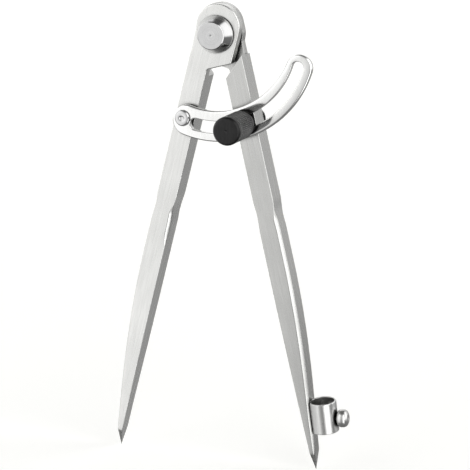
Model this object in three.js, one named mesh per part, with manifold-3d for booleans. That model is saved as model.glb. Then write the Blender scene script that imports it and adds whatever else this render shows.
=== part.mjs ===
// Wing compass with a pencil holder: two forged steel legs on a half-lap hinge,
// held at any opening by a slotted wing arc and a knurled clamp knob.
// Millimetres, +Z up. The hinge axis is Y, the front faces -Y and the hinge
// centre is the origin. The legs stand symmetrically open about the Z axis.
import * as THREE from "three";
import { mergeVertices } from "three/addons/utils/BufferGeometryUtils.js";
import Module from "manifold-3d";

const wasm = await Module();
wasm.setup();

// ---------------------------------------------------------------- driving dimensions
const HALF_OPENING = THREE.MathUtils.degToRad(13.75); // each leg from the vertical
const GAP = 0.3; // between neighbouring pieces

const LEG_LENGTH = 200; // hinge centre to point
const LEG_WIDTH = 9.4; // across the front face
const LEG_DEPTH = 11; // front to back
const LEG_INSET = 0.15; // inner face to the line through the hinge centre
const FRONT = -LEG_DEPTH / 2; // y of the legs' front faces
const BACK = LEG_DEPTH / 2; // y of the legs' back faces

const HEAD_RADIUS = 10; // rounded top of each hinge plate
const HEAD_RISE = 3.2; // centre of that round above the hinge centre
const HEAD_CORNER = 10.7; // hinge centre down to the free lower corner
const HEAD_CORNER_WIDTH = 9.8; // half width of the plate there
const HEAD_ROOT = 16.2; // hinge centre down to the plate's edge at the inner face
const HEAD_REACH = 24; // the plate runs this far down inside the full-depth leg
const SHOULDER_START = 2; // hinge centre down to where the outer side closes in
const FRONT_SHOULDER = 9.5; // half width of the front plate above the leg
const REAR_SHOULDER = 8.6; // and of the rear plate, which has a neck there
const REAR_NECK_START = 5.6; // hinge centre down to that neck
const STEP_OUTER = 11.3; // where the full-depth leg begins, at its outer face
const STEP_INNER = 19.6; // and at its inner face
const LAP_FRONT = -1.2; // back of the front plate
const LAP_BACK = 0.8; // front of the rear plate

const WAIST = 81; // narrowest place between the plain and the chamfered stretch
const WAIST_TOP = 77; // the side faces begin to close in
const WAIST_END = 88; // and are back at full width
const WAIST_CUT = 0.5; // depth of the waist in each side face
const CHAMFER = 1.2; // on the four long edges below the waist
const SMALL_CHAMFER = 0.4; // on the front edges that were only broken
const TAPER_START = 108; // outer face begins to curve in
const TAPER_BENDS = [[9, 140], [5.8, 165]]; // width and place of the two bends of that curve
const POINT_START = 191.5; // ground four-sided point begins
const POINT_WIDTH = 2.4; // width there
const POINT_DEPTH = 7.4; // depth there
const DEPTH_TAPER_START = 130; // front and back faces begin to close in
const DEPTH_TAPER_MIDDLE = 165; // where that closing steepens
const DEPTH_MIDDLE = 9.4; // depth there
const TAPER_FACETS = 12; // flats along the curved outer face

const RIVET_BASE_RADIUS = 8.3; // conical head of the hinge rivet
const RIVET_FACE_RADIUS = 6.2;
const RIVET_HEAD_HEIGHT = 6.2;
const RIVET_SHANK_RADIUS = 3.6;
const PLATE_BORE_RADIUS = 3.9;
const REAR_WASHER_RADIUS = 8;
const REAR_WASHER_THICKNESS = 1.2;
const TAIL_RADIUS = 5.6; // peened tail behind the rear washer
const TAIL_HEIGHT = 1.6;
const FRICTION_WASHER_RADIUS = 7.8;
const FRICTION_WASHER_THICKNESS = 1.4;

const ARC_INNER_RADIUS = 33.2; // slotted wing arc, round the hinge axis
const ARC_OUTER_RADIUS = 46.8;
const ARC_NARROWING = 1.75; // how much further out the inner edge is at the free end
const ARC_THICKNESS = 3;
const SLOT_INNER_RADIUS = 37.7;
const SLOT_OUTER_RADIUS = 43;
const ARC_START_ANGLE = THREE.MathUtils.degToRad(-17.7); // from straight down, towards +X
const ARC_END_ANGLE = THREE.MathUtils.degToRad(72.6);
const NARROWING_START_ANGLE = THREE.MathUtils.degToRad(15);
const SLOT_START_ANGLE = THREE.MathUtils.degToRad(-11.4);
const ARC_RIVET_ANGLE = THREE.MathUtils.degToRad(-20.7);
const ARC_RIVET_RADIUS = 39.7; // from the hinge
const ARC_RIVET_HEAD_RADIUS = 3.5;
const ARC_RIVET_HEAD_HEIGHT = 1;
const ARC_RIVET_SHANK_RADIUS = 1.7;
const ARC_RIVET_BORE_RADIUS = 2;

const STUD_RADIUS = 2.3; // clamp bolt through the right leg and the slot
const STUD_BORE_RADIUS = 2.6;
const STUD_TIP = -26; // y of the stud's front end
const NECK_SIDE = 5; // square neck that stops the bolt turning
const NECK_DEPTH = 3.2;
const BOLT_HEAD_RADIUS = 5.2;
const BOLT_HEAD_HEIGHT = 2.4;
const COLLAR_RADIUS = 5.3;
const COLLAR_THICKNESS = 2.4;
const KNOB_RADIUS = 6.2;
const KNOB_LENGTH = 18.4;
const KNOB_CHAMFER = 0.8;
const KNOB_FLUTES = 36;
const FLUTE_DEPTH = 0.35;

const TUBE_OUTER_RADIUS = 6.1; // pencil tube on the right leg's outer face
const TUBE_INNER_RADIUS = 5.3;
const TUBE_LENGTH = 14.1;
const TUBE_MIDDLE_DOWN = 175.8; // tube centre in the leg's own frame: down the leg
const TUBE_MIDDLE_OUT = 9.3; // and outwards from the inner face line
const TUBE_LEAN = THREE.MathUtils.degToRad(7.5); // tube axis against the inner face line
const TUBE_PITCH = THREE.MathUtils.degToRad(4); // its top leans forwards
const SCREW_HEAD_RADIUS = 4.1; // pencil clamping screw
const SCREW_HEAD_LENGTH = 4.8;
const SCREW_SHANK_RADIUS = 1.6;
const SCREW_BORE_RADIUS = 1.9;
const SCREW_REACH = 2.9; // shank past the tube's inner wall
const SCREW_DROP = 1.1; // screw axis below the tube's middle
const SCREW_RIM = 1.2; // rounded rims of its head
const HOLDER_RIVET_RADIUS = 1.2; // rivet from inside the tube through the leg
const HOLDER_RIVET_BORE_RADIUS = 1.5;
const HOLDER_RIVET_HEAD_RADIUS = 2.2;
const HOLDER_RIVET_HEAD_HEIGHT = 0.5;

const PAST = 1; // how far a cutting tool runs past the face it cuts
const ROUND = 48; // facets of a full round
const MIDDLE_ROUND = 36; // facets of a knob-sized round
const SMALL_ROUND = 24; // facets of a small round
const ARC_FACETS = 32; // along each edge of the wing arc
const CAP_FACETS = 18; // round each of its ends
const DOME_FACETS = 4; // over a domed head
const BROKEN_EDGE = 0.4; // flat that breaks a turned edge

// ---------------------------------------------------------------- finishes
const steel = (color, roughness) =>
  new THREE.MeshStandardMaterial({ color, roughness, metalness: 1 });
const satinSteel = steel(0xd2d2cf, 0.42);
const polishedSteel = steel(0xe6e6e6, 0.12);
const blackenedSteel = steel(0x2f2f2f, 0.5);
const bronze = steel(0xa98a55, 0.4);

// ---------------------------------------------------------------- solids and booleans
function solid(geometry) {
  const bare = geometry.clone();
  bare.deleteAttribute("normal");
  bare.deleteAttribute("uv");
  const merged = mergeVertices(bare, 1e-5);
  return new wasm.Manifold(
    new wasm.Mesh({
      numProp: 3,
      vertProperties: new Float32Array(merged.attributes.position.array),
      triVerts: new Uint32Array(merged.index.array),
    }),
  );
}

function geometryOf(manifold) {
  const mesh = manifold.getMesh();
  const geometry = new THREE.BufferGeometry();
  geometry.setAttribute("position", new THREE.BufferAttribute(mesh.vertProperties, 3));
  geometry.setIndex(new THREE.BufferAttribute(mesh.triVerts, 1));
  geometry.computeVertexNormals();
  return geometry;
}

const cut = (body, ...tools) => tools.reduce((left, tool) => left.subtract(tool), body);
const join = (body, ...parts) => parts.reduce((sum, part) => sum.add(part), body);

// A plate whose outline is drawn in X and Z and which fills y from front to back.
function plate(shape, front, back, curveSegments = 32) {
  const geometry = new THREE.ExtrudeGeometry(shape, {
    depth: back - front,
    bevelEnabled: false,
    curveSegments,
  });
  geometry.rotateX(Math.PI / 2);
  geometry.translate(0, back, 0);
  return solid(geometry);
}

// A bar whose outline is drawn in Y and Z and which fills x from low to high.
function bar(shape, low, high) {
  const geometry = new THREE.ExtrudeGeometry(shape, { depth: high - low, bevelEnabled: false });
  const alongX = new THREE.Matrix4().makeBasis(
    new THREE.Vector3(0, 1, 0),
    new THREE.Vector3(0, 0, 1),
    new THREE.Vector3(1, 0, 0),
  );
  geometry.applyMatrix4(alongX);
  geometry.translate(low, 0, 0);
  return solid(geometry);
}

// A turned piece: profile points are [radius, distance along the axis].
function turned(points, facets = ROUND) {
  return new THREE.LatheGeometry(
    points.map(([radius, along]) => new THREE.Vector2(radius, along)),
    facets,
  );
}

// The same about the hinge direction, Y, at a place given in X and Z.
function turnedAlongY(points, x = 0, z = 0, facets = ROUND) {
  return solid(turned(points, facets).translate(x, 0, z));
}

// A plain pin along Y.
const pinAlongY = (radius, front, back, x, z, facets = SMALL_ROUND) =>
  turnedAlongY([[0, front], [radius, front], [radius, back], [0, back]], x, z, facets);

// A pin or turned piece along X: distances run outwards along +X.
function turnedAlongX(points, facets = SMALL_ROUND) {
  return solid(turned(points, facets).rotateZ(-Math.PI / 2));
}

function outline(points) {
  const shape = new THREE.Shape();
  points.forEach(([x, z], i) => (i === 0 ? shape.moveTo(x, z) : shape.lineTo(x, z)));
  shape.closePath();
  return shape;
}

function mesh(name, manifold, material) {
  const part = new THREE.Mesh(geometryOf(manifold), material);
  part.name = name;
  return part;
}

// A place on a circle round the hinge, at an angle from straight down towards +X.
const onCircle = (radius, angle) => [radius * Math.sin(angle), -radius * Math.cos(angle)];

// ---------------------------------------------------------------- derived places
const SLOT_RADIUS = (SLOT_INNER_RADIUS + SLOT_OUTER_RADIUS) / 2;
const ARC_BACK = FRONT - GAP;
const ARC_FRONT = ARC_BACK - ARC_THICKNESS;
const [ARC_RIVET_X, ARC_RIVET_Z] = onCircle(ARC_RIVET_RADIUS, ARC_RIVET_ANGLE);
// The clamp stud sits on the right leg's centre line, in the middle of the slot.
const STUD_ANGLE = HALF_OPENING + Math.asin(LEG_WIDTH / 2 / SLOT_RADIUS);
const [STUD_X, STUD_Z] = onCircle(SLOT_RADIUS, STUD_ANGLE);

// The outer face of a leg below the waist, from its straight part to the ground point.
const TAPER = new THREE.CubicBezierCurve(
  new THREE.Vector2(LEG_WIDTH, -TAPER_START),
  new THREE.Vector2(TAPER_BENDS[0][0], -TAPER_BENDS[0][1]),
  new THREE.Vector2(TAPER_BENDS[1][0], -TAPER_BENDS[1][1]),
  new THREE.Vector2(POINT_WIDTH, -POINT_START),
);

// ---------------------------------------------------------------- legs, in their own frame
// A leg hangs straight down from the hinge; side is +1 when it opens towards +X, -1 towards -X.
function legOutline(side) {
  const taper = TAPER.getPoints(TAPER_FACETS).map((point) => [point.x, point.y]);
  const inner = LEG_INSET;
  const points = [
    [inner, -STEP_INNER],
    [inner, -WAIST_TOP],
    [inner + WAIST_CUT, -WAIST],
    [inner, -WAIST_END],
    [0, -LEG_LENGTH],
    ...taper.reverse(),
    [LEG_WIDTH, -WAIST_END],
    [LEG_WIDTH - WAIST_CUT, -WAIST],
    [LEG_WIDTH, -WAIST_TOP],
    [LEG_WIDTH, -STEP_OUTER],
  ];
  return outline(points.map(([x, z]) => [side * x, z]));
}

// The leg seen from its side: full depth, then closing to the point.
function legDepthOutline() {
  const edge = [
    [LEG_DEPTH / 2, 0],
    [LEG_DEPTH / 2, -DEPTH_TAPER_START],
    [DEPTH_MIDDLE / 2, -DEPTH_TAPER_MIDDLE],
    [POINT_DEPTH / 2, -POINT_START],
    [0, -LEG_LENGTH],
  ];
  const other = edge.slice(0, -1).map(([y, z]) => [-y, z]).reverse();
  return outline([...edge, ...other]);
}

// A square bar turned on its corner, which planes one long edge to a chamfer.
function chamferCutter(from, to, y, side, chamfer) {
  const span = new THREE.Vector2().subVectors(to, from);
  const middle = new THREE.Vector2().addVectors(from, to).multiplyScalar(0.5);
  const size = chamfer * Math.SQRT2;
  const geometry = new THREE.BoxGeometry(size, size, span.length() + chamfer);
  geometry.rotateZ(Math.PI / 4);
  geometry.rotateY(Math.atan2(side * span.x, span.y));
  geometry.translate(side * middle.x, y, middle.y);
  return solid(geometry);
}

// The rear edges and the right leg's outer front edge are planed wide, the others broken.
function chamferCutters(side) {
  const top = -WAIST_END;
  const inner = [new THREE.Vector2(LEG_INSET, top), new THREE.Vector2(LEG_INSET, -POINT_START)];
  const outer = [new THREE.Vector2(LEG_WIDTH, top), ...TAPER.getPoints(TAPER_FACETS)];
  const run = (points, y, chamfer) =>
    points.slice(1).map((to, i) => chamferCutter(points[i], to, y, side, chamfer));
  return [
    ...run(inner, FRONT, SMALL_CHAMFER),
    ...run(outer, FRONT, side > 0 ? CHAMFER : SMALL_CHAMFER),
    ...run(inner, BACK, CHAMFER),
    ...run(outer, BACK, CHAMFER),
  ];
}

// The half-lap hinge plate: a round top, a straight free side, a slanted free lower edge, and
// an outer side that closes in to the leg.
function headOutline(side) {
  const shape = new THREE.Shape();
  const start = side > 0 ? Math.PI : 0;
  const neck = side > 0
    ? [[REAR_SHOULDER, -REAR_NECK_START], [REAR_SHOULDER, -STEP_OUTER]]
    : [[FRONT_SHOULDER, -SHOULDER_START], [LEG_WIDTH, -STEP_OUTER]];
  shape.moveTo(side * LEG_INSET, -HEAD_ROOT);
  shape.lineTo(-side * HEAD_CORNER_WIDTH, -HEAD_CORNER);
  shape.lineTo(-side * HEAD_RADIUS, HEAD_RISE);
  shape.absarc(0, HEAD_RISE, HEAD_RADIUS, start, start - side * Math.PI, side > 0);
  if (side > 0) {
    shape.lineTo(HEAD_RADIUS, -SHOULDER_START);
  }
  neck.forEach(([x, z]) => shape.lineTo(side * x, z));
  shape.lineTo(side * neck[1][0], -HEAD_REACH);
  shape.lineTo(side * LEG_INSET, -HEAD_REACH);
  shape.closePath();
  return shape;
}

function legBlank(side, plateFront, plateBack) {
  const body = plate(legOutline(side), FRONT, BACK)
    .intersect(bar(legDepthOutline(), -2 * LEG_WIDTH, 2 * LEG_WIDTH));
  const head = plate(headOutline(side), plateFront, plateBack);
  const bore = pinAlongY(PLATE_BORE_RADIUS, FRONT - PAST, BACK + PAST, 0, 0, ROUND);
  return cut(join(body, head), bore, ...chamferCutters(side));
}

// Places on the arc, turned back into a leg's own frame.
function inLegFrame(x, z, side) {
  const turn = side * HALF_OPENING;
  return [
    x * Math.cos(turn) + z * Math.sin(turn),
    -x * Math.sin(turn) + z * Math.cos(turn),
  ];
}

function leftLeg() {
  const [x, z] = inLegFrame(ARC_RIVET_X, ARC_RIVET_Z, -1);
  const rivetHole = pinAlongY(ARC_RIVET_BORE_RADIUS, FRONT - PAST, BACK + PAST, x, z);
  return cut(legBlank(-1, FRONT, LAP_FRONT), rivetHole);
}

function rightLeg() {
  const [x, z] = inLegFrame(STUD_X, STUD_Z, 1);
  const studHole = pinAlongY(STUD_BORE_RADIUS, FRONT - PAST, BACK + PAST, x, z);
  const side = NECK_SIDE + 2 * GAP;
  const depth = NECK_DEPTH + GAP + PAST;
  const neck = new THREE.BoxGeometry(side, depth, side);
  neck.translate(x, BACK + PAST - depth / 2, z);
  const seat = holderPlace(turnedAlongZ(TUBE_OUTER_RADIUS + GAP, TUBE_LENGTH + 2 * GAP));
  const through = TUBE_MIDDLE_OUT + LEG_WIDTH;
  const rivetHole = holderPlace(
    turned(
      [[0, 0], [HOLDER_RIVET_BORE_RADIUS, 0], [HOLDER_RIVET_BORE_RADIUS, through], [0, through]],
      SMALL_ROUND,
    ).rotateZ(Math.PI / 2),
  );
  return cut(legBlank(1, LAP_BACK, BACK), studHole, solid(neck), solid(seat), solid(rivetHole));
}

// ---------------------------------------------------------------- pencil holder
// Its own frame has the tube along Z at the origin and the leg towards -X.
const turnedAlongZ = (radius, length, facets = ROUND) =>
  turned([[0, -length / 2], [radius, -length / 2], [radius, length / 2], [0, length / 2]], facets)
    .rotateX(Math.PI / 2);

// Moves a geometry from the holder's frame into the right leg's frame.
function holderPlace(geometry) {
  return geometry
    .rotateX(TUBE_PITCH)
    .rotateY(TUBE_LEAN)
    .translate(TUBE_MIDDLE_OUT, 0, -TUBE_MIDDLE_DOWN);
}

function pencilTube() {
  const wall = solid(turnedAlongZ(TUBE_OUTER_RADIUS, TUBE_LENGTH));
  const bore = solid(turnedAlongZ(TUBE_INNER_RADIUS, TUBE_LENGTH + 2 * PAST));
  const reach = TUBE_OUTER_RADIUS + PAST;
  const screwHole = turnedAlongX(
    [[0, 0], [SCREW_BORE_RADIUS, 0], [SCREW_BORE_RADIUS, reach], [0, reach]],
  ).translate([0, 0, -SCREW_DROP]);
  const rivetHole = turnedAlongX([
    [0, -reach],
    [HOLDER_RIVET_BORE_RADIUS, -reach],
    [HOLDER_RIVET_BORE_RADIUS, 0],
    [0, 0],
  ]);
  return cut(wall, bore, screwHole, rivetHole);
}

// A low button head inside the tube, and a shank that ends flush in the leg's inner face.
function holderRivet() {
  const headBase = GAP - Math.sqrt(TUBE_INNER_RADIUS ** 2 - HOLDER_RIVET_HEAD_RADIUS ** 2);
  const headTop = headBase + HOLDER_RIVET_HEAD_HEIGHT;
  const shankEnd = -(TUBE_MIDDLE_OUT - LEG_INSET) + GAP;
  return turnedAlongX([
    [0, shankEnd],
    [HOLDER_RIVET_RADIUS, shankEnd],
    [HOLDER_RIVET_RADIUS, headBase],
    [HOLDER_RIVET_HEAD_RADIUS, headBase],
    [HOLDER_RIVET_HEAD_RADIUS / 2, headTop],
    [0, headTop],
  ]);
}

function pencilScrew() {
  const tip = TUBE_INNER_RADIUS - SCREW_REACH;
  const headBase = TUBE_OUTER_RADIUS + GAP;
  const headTop = headBase + SCREW_HEAD_LENGTH;
  return turnedAlongX(
    [
      [0, tip],
      [SCREW_SHANK_RADIUS, tip],
      [SCREW_SHANK_RADIUS, headBase],
      [SCREW_HEAD_RADIUS - SCREW_RIM, headBase],
      [SCREW_HEAD_RADIUS, headBase + SCREW_RIM],
      [SCREW_HEAD_RADIUS, headTop - SCREW_RIM],
      [SCREW_HEAD_RADIUS - SCREW_RIM, headTop],
      [0, headTop],
    ],
    MIDDLE_ROUND,
  ).translate([0, 0, -SCREW_DROP]);
}

// The profile of a domed rear head: a short straight rim, then a curve to the axis.
function dome(radius, base, height) {
  const rim = height / 3;
  const points = [[radius, base]];
  for (let i = 0; i < DOME_FACETS; i += 1) {
    const turn = (Math.PI / 2) * (i / DOME_FACETS);
    points.push([radius * Math.cos(turn), base + rim + (height - rim) * Math.sin(turn)]);
  }
  return [...points, [0, base + height]];
}

// ---------------------------------------------------------------- hinge hardware
function hingeRivet() {
  const headBase = FRONT - GAP;
  const tailBase = BACK + 2 * GAP + REAR_WASHER_THICKNESS;
  const edge = BROKEN_EDGE;
  return turnedAlongY([
    [0, headBase - RIVET_HEAD_HEIGHT],
    [RIVET_FACE_RADIUS - edge, headBase - RIVET_HEAD_HEIGHT],
    [RIVET_FACE_RADIUS, headBase - RIVET_HEAD_HEIGHT + edge],
    [RIVET_BASE_RADIUS, headBase - edge],
    [RIVET_BASE_RADIUS, headBase],
    [RIVET_SHANK_RADIUS, headBase],
    [RIVET_SHANK_RADIUS, tailBase],
    ...dome(TAIL_RADIUS, tailBase, TAIL_HEIGHT),
  ]);
}

// A flat ring round the hinge axis.
const washer = (radius, front, thickness) =>
  turnedAlongY([
    [PLATE_BORE_RADIUS, front],
    [radius, front],
    [radius, front + thickness],
    [PLATE_BORE_RADIUS, front + thickness],
    [PLATE_BORE_RADIUS, front],
  ]);

// ---------------------------------------------------------------- wing arc and its rivet
// A curved band round the hinge with a full round at each end. Its inner edge may move outwards
// by `narrowing` on the way to the free end.
function band(inner, outer, startAngle, endAngle, narrowing) {
  const innerAt = (angle) => {
    const share = (angle - NARROWING_START_ANGLE) / (endAngle - NARROWING_START_ANGLE);
    return inner + narrowing * Math.max(0, share) ** 2;
  };
  const points = [];
  for (let i = 0; i <= ARC_FACETS; i += 1) {
    points.push(onCircle(outer, startAngle + ((endAngle - startAngle) * i) / ARC_FACETS));
  }
  points.push(...halfRound(innerAt(endAngle), outer, endAngle, 0));
  for (let i = ARC_FACETS; i >= 0; i -= 1) {
    const angle = startAngle + ((endAngle - startAngle) * i) / ARC_FACETS;
    points.push(onCircle(innerAt(angle), angle));
  }
  points.push(...halfRound(inner, outer, startAngle, Math.PI));
  return outline(points);
}

// The points between the two edges of a band's end, without the edges themselves.
function halfRound(inner, outer, angle, turn) {
  const [x, z] = onCircle((inner + outer) / 2, angle);
  const points = [];
  for (let i = 1; i < CAP_FACETS; i += 1) {
    const [dx, dz] = onCircle((outer - inner) / 2, angle + turn + (Math.PI * i) / CAP_FACETS);
    points.push([x + dx, z + dz]);
  }
  return points;
}

function wingArc() {
  const body = plate(
    band(ARC_INNER_RADIUS, ARC_OUTER_RADIUS, ARC_START_ANGLE, ARC_END_ANGLE, ARC_NARROWING),
    ARC_FRONT, ARC_BACK,
  );
  const slot = plate(
    band(SLOT_INNER_RADIUS, SLOT_OUTER_RADIUS, SLOT_START_ANGLE, ARC_END_ANGLE, 0),
    ARC_FRONT - PAST, ARC_BACK + PAST,
  );
  const rivetHole = pinAlongY(
    ARC_RIVET_BORE_RADIUS, ARC_FRONT - PAST, ARC_BACK + PAST, ARC_RIVET_X, ARC_RIVET_Z,
  );
  return cut(body, slot, rivetHole);
}

function arcRivet() {
  const headBase = ARC_FRONT - GAP;
  const headTop = headBase - ARC_RIVET_HEAD_HEIGHT;
  return turnedAlongY(
    [
      [0, headTop],
      [ARC_RIVET_HEAD_RADIUS - BROKEN_EDGE, headTop],
      [ARC_RIVET_HEAD_RADIUS, headTop + BROKEN_EDGE],
      [ARC_RIVET_HEAD_RADIUS, headBase],
      [ARC_RIVET_SHANK_RADIUS, headBase],
      [ARC_RIVET_SHANK_RADIUS, BACK - GAP],
      [0, BACK - GAP],
    ],
    ARC_RIVET_X, ARC_RIVET_Z, MIDDLE_ROUND,
  );
}

// ---------------------------------------------------------------- clamp on the right leg
// The bolt is modelled in the right leg's frame, so its square neck fits the leg's pocket.
function clampBolt() {
  const [x, z] = inLegFrame(STUD_X, STUD_Z, 1);
  const headBase = BACK + GAP;
  const shank = turnedAlongY(
    [
      [0, STUD_TIP],
      [STUD_RADIUS - BROKEN_EDGE, STUD_TIP],
      [STUD_RADIUS, STUD_TIP + BROKEN_EDGE],
      [STUD_RADIUS, headBase],
      ...dome(BOLT_HEAD_RADIUS, headBase, BOLT_HEAD_HEIGHT),
    ],
    x, z, MIDDLE_ROUND,
  );
  const neck = new THREE.BoxGeometry(NECK_SIDE, NECK_DEPTH + PAST, NECK_SIDE);
  neck.translate(x, headBase - NECK_DEPTH / 2 + PAST / 2, z);
  return join(shank, solid(neck));
}

const COLLAR_BACK = ARC_FRONT - GAP;
const COLLAR_FRONT = COLLAR_BACK - COLLAR_THICKNESS;

function clampCollar() {
  return turnedAlongY(
    [
      [STUD_BORE_RADIUS, COLLAR_FRONT],
      [COLLAR_RADIUS - BROKEN_EDGE, COLLAR_FRONT],
      [COLLAR_RADIUS, COLLAR_FRONT + BROKEN_EDGE],
      [COLLAR_RADIUS, COLLAR_BACK],
      [STUD_BORE_RADIUS, COLLAR_BACK],
      [STUD_BORE_RADIUS, COLLAR_FRONT],
    ],
    STUD_X, STUD_Z, MIDDLE_ROUND,
  );
}

function clampKnob() {
  const back = COLLAR_FRONT - GAP;
  const front = back - KNOB_LENGTH;
  const flutes = [];
  for (let i = 0; i < KNOB_FLUTES; i += 1) {
    const tooth = (i / KNOB_FLUTES) * 2 * Math.PI;
    const valley = ((i + 0.5) / KNOB_FLUTES) * 2 * Math.PI;
    const depth = KNOB_RADIUS - FLUTE_DEPTH;
    flutes.push([KNOB_RADIUS * Math.cos(tooth), KNOB_RADIUS * Math.sin(tooth)]);
    flutes.push([depth * Math.cos(valley), depth * Math.sin(valley)]);
  }
  const knurled = plate(
    outline(flutes.map(([x, z]) => [x + STUD_X, z + STUD_Z])), front - PAST, back + PAST,
  );
  const turnedBlank = turnedAlongY(
    [
      [0, front],
      [KNOB_RADIUS - KNOB_CHAMFER, front],
      [KNOB_RADIUS, front + KNOB_CHAMFER],
      [KNOB_RADIUS, back - KNOB_CHAMFER / 2],
      [KNOB_RADIUS - KNOB_CHAMFER / 2, back],
      [0, back],
    ],
    STUD_X, STUD_Z, 2 * KNOB_FLUTES,
  );
  const bore = pinAlongY(STUD_BORE_RADIUS, STUD_TIP - GAP, back + PAST, STUD_X, STUD_Z);
  return cut(knurled.intersect(turnedBlank), bore);
}

// ---------------------------------------------------------------- assembly
const compass = new THREE.Group();

const leftSide = new THREE.Group();
leftSide.rotation.y = HALF_OPENING;
leftSide.add(mesh("left_leg", leftLeg(), satinSteel));

const rightSide = new THREE.Group();
rightSide.rotation.y = -HALF_OPENING;
rightSide.add(
  mesh("right_leg", rightLeg(), satinSteel),
  mesh("clamp_bolt", clampBolt(), blackenedSteel),
);

const holder = new THREE.Group();
holder.position.set(TUBE_MIDDLE_OUT, 0, -TUBE_MIDDLE_DOWN);
holder.rotation.set(TUBE_PITCH, TUBE_LEAN, 0, "YXZ");
holder.add(
  mesh("pencil_tube", pencilTube(), polishedSteel),
  mesh("holder_rivet", holderRivet(), polishedSteel),
  mesh("pencil_screw", pencilScrew(), polishedSteel),
);
rightSide.add(holder);

compass.add(
  leftSide,
  rightSide,
  mesh("hinge_rivet", hingeRivet(), polishedSteel),
  mesh("friction_washer",
    washer(FRICTION_WASHER_RADIUS, (LAP_FRONT + LAP_BACK - FRICTION_WASHER_THICKNESS) / 2,
      FRICTION_WASHER_THICKNESS), bronze),
  mesh("rear_washer", washer(REAR_WASHER_RADIUS, BACK + GAP, REAR_WASHER_THICKNESS), polishedSteel),
  mesh("wing_arc", wingArc(), polishedSteel),
  mesh("arc_rivet", arcRivet(), polishedSteel),
  mesh("clamp_collar", clampCollar(), blackenedSteel),
  mesh("clamp_knob", clampKnob(), blackenedSteel),
);

export default compass;
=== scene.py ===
"""Wing compass with a pencil holder: its finished surfaces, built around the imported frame.

Metres, +Z up. The hinge axis is Y through the origin and the front faces -Y. Every turned,
forged and pressed piece is made again with its rims, chamfers, knurl and machining marks.
"""

import logging
import math
from collections.abc import Callable, Sequence
from dataclasses import dataclass
from enum import Enum

import bmesh
import bpy
from mathutils import Matrix, Vector


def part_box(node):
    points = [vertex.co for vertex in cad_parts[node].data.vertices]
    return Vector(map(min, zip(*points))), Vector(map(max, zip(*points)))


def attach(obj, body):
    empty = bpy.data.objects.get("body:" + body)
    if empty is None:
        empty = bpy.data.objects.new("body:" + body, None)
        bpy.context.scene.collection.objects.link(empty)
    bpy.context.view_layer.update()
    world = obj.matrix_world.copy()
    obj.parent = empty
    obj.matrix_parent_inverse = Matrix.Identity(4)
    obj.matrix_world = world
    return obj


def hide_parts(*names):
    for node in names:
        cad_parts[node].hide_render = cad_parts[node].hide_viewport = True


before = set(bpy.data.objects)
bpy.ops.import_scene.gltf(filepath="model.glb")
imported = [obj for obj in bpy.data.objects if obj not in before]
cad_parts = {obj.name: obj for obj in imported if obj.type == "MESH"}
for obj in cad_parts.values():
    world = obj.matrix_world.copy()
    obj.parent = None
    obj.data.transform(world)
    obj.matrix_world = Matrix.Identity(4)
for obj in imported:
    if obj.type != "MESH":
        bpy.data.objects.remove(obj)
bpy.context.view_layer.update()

logging.basicConfig(level=logging.INFO, format="%(message)s")
log = logging.getLogger("wing_compass")

MM = 0.001
HINGE = Vector((0.0, 0.0, 0.0))
TOWARDS_VIEWER = Vector((0.0, -1.0, 0.0))
ROUND_STEPS = 144  # facets of a full round
RIM_STEPS = 4  # facets of a rounded rim
SHARP_EDGE = math.radians(32.0)  # steeper edges stay crisp

Loop = list[Vector]
Flat = tuple[float, float]


class Side(Enum):
    """The two legs; the value is the side of the hinge that the leg opens towards."""

    LEFT = -1
    RIGHT = 1


class Slot(Enum):
    """The record's material slots."""

    STEEL = "satin_steel"
    CHROME = "polished_chrome"
    BLACK = "blackened_steel"
    BRONZE = "bronze"


# ---------------------------------------------------------------- shapes


@dataclass(frozen=True)
class Corner:
    """One corner of an outline.

    Args:
        across: Distance from the axis of a turned piece, or the first flat coordinate.
        along: Distance along that axis, or the second flat coordinate.
        rounding: How far from the corner its curve begins.
    """

    across: float
    along: float
    rounding: float = 0.0


def rounded(corners: Sequence[Corner], closed: bool = False, steps: int = RIM_STEPS) -> list[Flat]:
    """Turns corners into points, with a short curve in place of each rounded corner.

    Args:
        corners: The outline's corners in order.
        closed: True if the last corner joins the first.
        steps: Facets of each curve.

    Returns:
        The outline's points.
    """
    points: list[Flat] = []
    count = len(corners)
    for index, corner in enumerate(corners):
        here = Vector((corner.across, corner.along))
        is_end = not closed and index in (0, count - 1)
        if is_end or corner.rounding <= 0:
            points.append((here.x, here.y))
            continue
        before = Vector((corners[index - 1].across, corners[index - 1].along)) - here
        after_corner = corners[(index + 1) % count]
        after = Vector((after_corner.across, after_corner.along)) - here
        start = here + before.normalized() * min(corner.rounding, before.length * 0.49)
        end = here + after.normalized() * min(corner.rounding, after.length * 0.49)
        for step in range(steps + 1):
            t = step / steps
            point = start * (1 - t) ** 2 + here * (2 * t * (1 - t)) + end * t**2
            points.append((point.x, point.y))
    return points


def skin(name: str, loops: Sequence[Loop], cyclic: bool = False) -> bpy.types.Object:
    """Joins loops with the same number of points by quads into one closed surface.

    Args:
        name: The object's name.
        loops: Rings of points, each beside the next.
        cyclic: True if the last ring joins the first; otherwise both ends are capped.

    Returns:
        The new object.
    """
    shape = bmesh.new()
    rings = [[shape.verts.new(point) for point in loop] for loop in loops]
    pairs = list(zip(rings, rings[1:]))
    if cyclic:
        pairs.append((rings[-1], rings[0]))
    for low, high in pairs:
        count = len(low)
        for index in range(count):
            following = (index + 1) % count
            shape.faces.new((low[index], low[following], high[following], high[index]))
    if not cyclic:
        shape.faces.new(rings[0])
        shape.faces.new(rings[-1])
    bmesh.ops.recalc_face_normals(shape, faces=shape.faces)
    mesh = bpy.data.meshes.new(name)
    shape.to_mesh(mesh)
    shape.free()
    made = bpy.data.objects.new(name, mesh)
    bpy.context.scene.collection.objects.link(made)
    return made


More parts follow.
